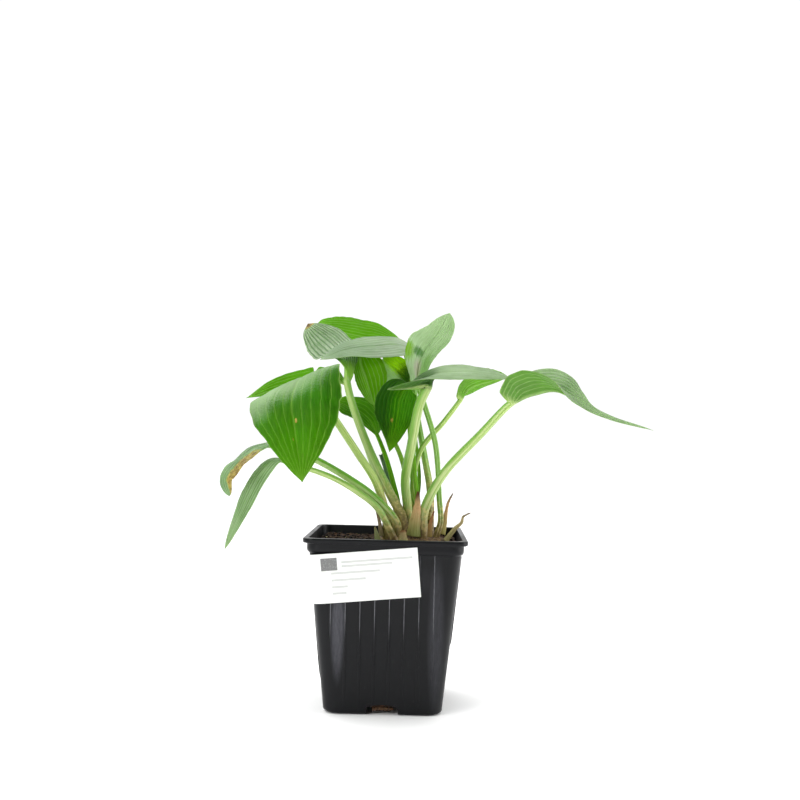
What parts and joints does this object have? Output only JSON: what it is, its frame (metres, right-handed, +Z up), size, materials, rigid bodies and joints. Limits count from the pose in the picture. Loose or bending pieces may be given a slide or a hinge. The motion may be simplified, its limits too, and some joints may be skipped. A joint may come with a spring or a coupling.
{
  "type": "potted hosta",
  "caption": "Young hosta clump with broad ribbed leaves on pale stalks, growing in a square black nursery pot with a blank wrap-round label.",
  "frame": {"origin": "centre of the pot's base, on the surface it stands on", "axes": "+Z up, -Y the front with the label's long end, +X to the right seen from the front"},
  "size_m": [0.2306, 0.1422, 0.2278],
  "materials": {
    "pot_plastic": "satin moulded black plastic",
    "soil": "damp peat, rough and fibrous",
    "label_paper": "smooth coated paper",
    "crown_tissue": "knobbly, matt",
    "root": "fleshy, matt",
    "dry_sheath": "dry papery",
    "leaf": "satin waxy green, ribbed by veins, paler stalks"
  },
  "bodies": {
    "root": {"pot": "pot_plastic", "potting_soil": "soil", "label": "label_paper", "crown": "crown_tissue", "drain_root": "root", "cut_stalk_stub": "leaf", "sheath_centre": "dry_sheath", "sheath_left": "dry_sheath", "sheath_front_low": "dry_sheath", "scale_left_pale": "dry_sheath", "sheath_right": "dry_sheath", "sheath_red": "dry_sheath", "dry_leaf_right": "dry_sheath", "leaf_front_left": "leaf", "leaf_left_low": "leaf", "leaf_top_front": "leaf", "leaf_top_left": "leaf", "leaf_top_back": "leaf", "leaf_upright_right": "leaf", "leaf_inner_back": "leaf", "leaf_centre_hanging": "leaf", "leaf_young_cupped": "leaf", "leaf_inner_low": "leaf", "leaf_right_near": "leaf", "leaf_right_back": "leaf", "leaf_right_long": "leaf", "leaf_damaged_left": "leaf", "leaf_narrow_left": "leaf"}
  },
  "joints": []
}
